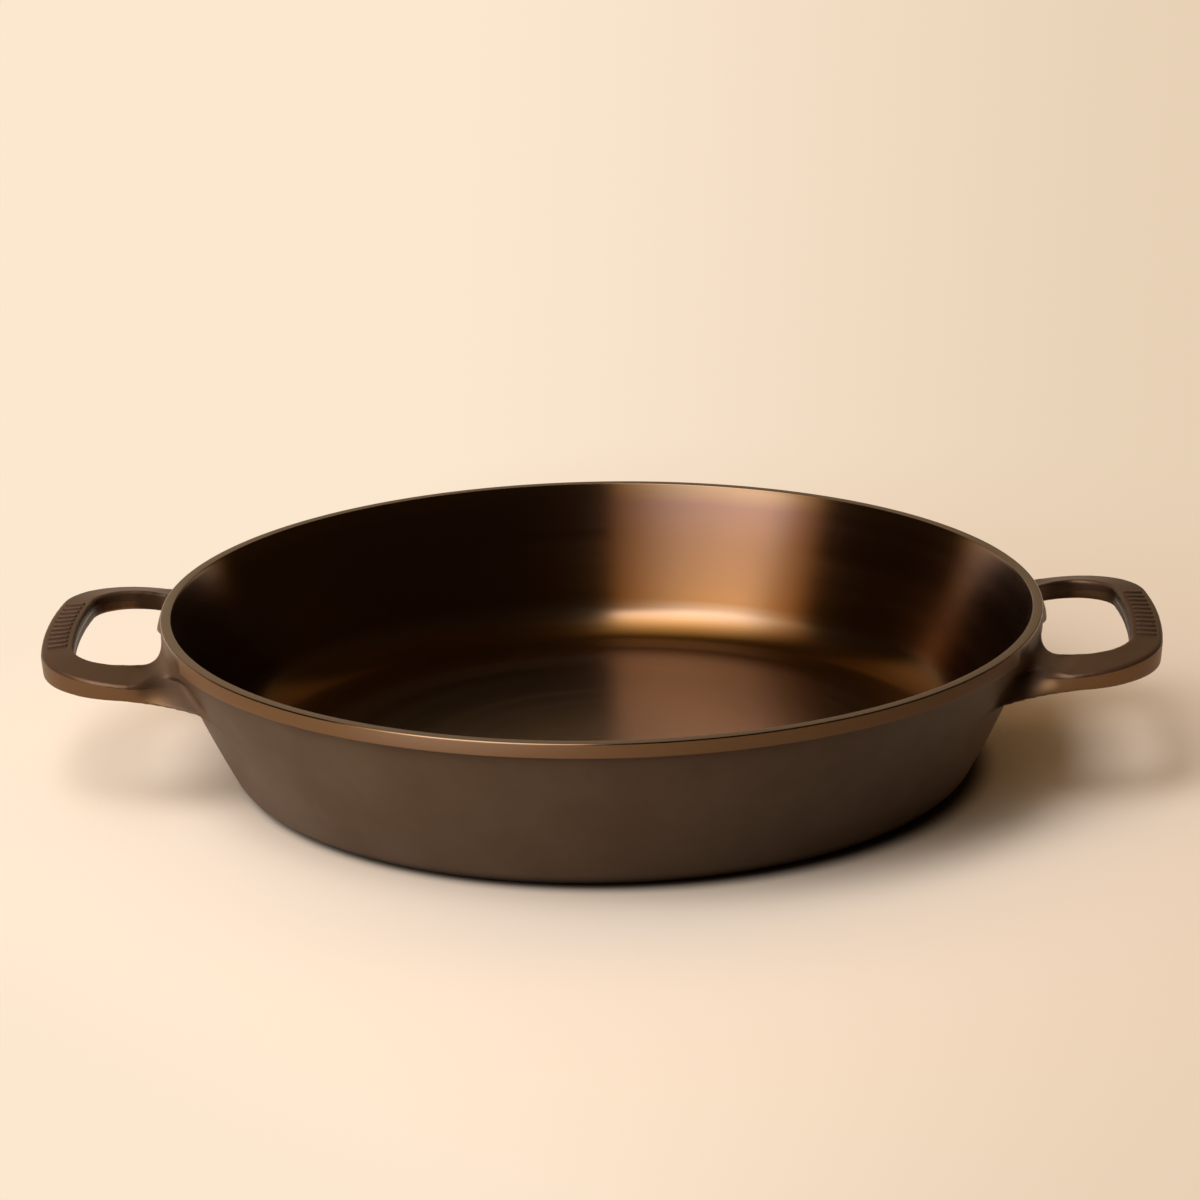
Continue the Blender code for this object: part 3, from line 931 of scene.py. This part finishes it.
LEFT_LEAN = 2.3
LEFT_LEAN_UP = (0.08, 0.16)
LEFT_LEAN_MIDDLE = 0.11
LEFT_LEAN_ACROSS = (0.5, 0.8)
RIGHT_SPREAD = 0.155
RIGHT_SPREAD_UP = (0.16, 0.21)
RIGHT_SPREAD_ACROSS = (0.6, 0.85)
FOOT_GAIN = 0.35
FOOT_UP = (0.065, 0.10)
FOOT_ACROSS = (0.55, 0.80)
DARK_ROOM_SHINE = 0.036
SHINE_LEFT = ((0.0, 1.0), (0.08, 1.0), (0.19, 0.5), (0.6, 0.4), (0.8, 0.0))
SHINE_RIGHT = ((0.0, 1.0), (0.04, 1.0), (0.11, 0.1), (0.3, 0.12), (0.6, 0.2), (0.8, 0.0))
SHINE_RIGHT_FROM = (-0.1, 0.3)
SHINE_BEHIND = (0.36, 0.56)
SHINE_RIGHT_SETBACK = 0.15
ROOM_GLOW = 0.02
PAPER_GLOW = 0.78
GLOW_BEHIND = (0.15, 0.45)
GLOW_UP = (0.1, 0.4)
SHADE_WARMTH = (0.990, 0.665, 0.345, 1.0)


def lit_share(board, place, shares):
    """The share of full brightness at a place, from a list of places and their shares."""
    stops = [(position, (share, share, share, 1.0)) for position, share in shares]
    return board.node("ShaderNodeValToRGB", {"stops": stops}, {0: place})


box_side = BOX_HEAD - BOX_FOOT
box_data = bpy.data.lights.new("soft_box", "AREA")
box_data.shape = "RECTANGLE"
box_data.size = BOX_RIGHT_X - BOX_LEFT_X
box_data.size_y = box_side.length
box_data.energy = BOX_BRIGHTNESS * math.pi * box_data.size * box_data.size_y
box_data.use_nodes = True
box_data.node_tree.nodes.clear()
board = Board(box_data.node_tree)
sheet = board.node("ShaderNodeNewGeometry", output="Parametric")
across = board.node("ShaderNodeSeparateXYZ", {}, {0: sheet})
up = across.also("Y")
lean = up.math("MAXIMUM", LEFT_LEAN_UP[0]).math("MINIMUM", LEFT_LEAN_UP[1])
lean = (lean - LEFT_LEAN_MIDDLE) * LEFT_LEAN * (1 - ramp_share(board, across, *LEFT_LEAN_ACROSS))
spread = RIGHT_SPREAD * ramp_share(board, up, *RIGHT_SPREAD_UP)
spread = spread * ramp_share(board, across, *RIGHT_SPREAD_ACROSS)
share = lit_share(board, across - lean - spread, BRIGHT_ACROSS)
foot = (1 - ramp_share(board, up, *FOOT_UP)) * (1 - ramp_share(board, across, *FOOT_ACROSS))
glow = board.node("ShaderNodeEmission", {}, {
    "Color": mix_colours(board, ramp_share(board, share, 0.0, WHITE_FROM_SHARE), DIM_ORANGE, BOX_WHITE),
    "Strength": share * lit_share(board, up, BRIGHT_UP) * (1 + FOOT_GAIN * foot),
})
board.node("ShaderNodeOutputLight", {}, {"Surface": glow})
soft_box = bpy.data.objects.new("soft_box", box_data)
bpy.context.scene.collection.objects.link(soft_box)
soft_box.location = (BOX_HEAD + BOX_FOOT) / 2 + Vector(((BOX_LEFT_X + BOX_RIGHT_X) / 2, 0.0, 0.0))
soft_box.rotation_euler.x = math.atan2(box_side.z, box_side.y)
soft_box.visible_camera = False

world = bpy.data.worlds.new("room")
bpy.context.scene.world = world
world.use_nodes = True
world.node_tree.nodes.clear()
board = Board(world.node_tree)
direction = board.node("ShaderNodeTexCoord", output="Generated")
x = board.node("ShaderNodeSeparateXYZ", {}, {0: direction})
y = x.also("Y")
z = x.also("Z")
rays = board.node("ShaderNodeLightPath", output="Is Camera Ray")
shiny = rays.also("Is Glossy Ray").math("MAXIMUM", rays.also("Is Transmission Ray"))
right = ramp_share(board, x, *SHINE_RIGHT_FROM)
behind = ramp_share(board, y - SHINE_RIGHT_SETBACK * right, *SHINE_BEHIND)
paper_shine = behind * blended(lit_share(board, z, SHINE_LEFT), lit_share(board, z, SHINE_RIGHT), right)
toward_paper = ramp_share(board, y, *GLOW_BEHIND) * ramp_share(board, z, *GLOW_UP)
glow = blended(ROOM_GLOW, PAPER_GLOW, toward_paper)
strength = rays + shiny * (paper_shine + DARK_ROOM_SHINE) + (1 - rays) * (1 - shiny) * glow
shown = rays.math("MAXIMUM", shiny * paper_shine)
dimming = ramp_share(board, x / abs(y), *DIMMING_RANGE)
far_paper = mix_colours(board, rays, PAPER_CREAM, PAPER_LEFT)
far_paper = mix_colours(board, rays * dimming, far_paper, PAPER_RIGHT)
air = board.node("ShaderNodeBackground", {}, {
    "Color": mix_colours(board, shown, mix_colours(board, shiny, SHADE_WARMTH, DIM_ORANGE), far_paper),
    "Strength": strength,
})
board.node("ShaderNodeOutputWorld", {}, {"Surface": air})

bpy.context.scene.view_settings.view_transform = "Standard"
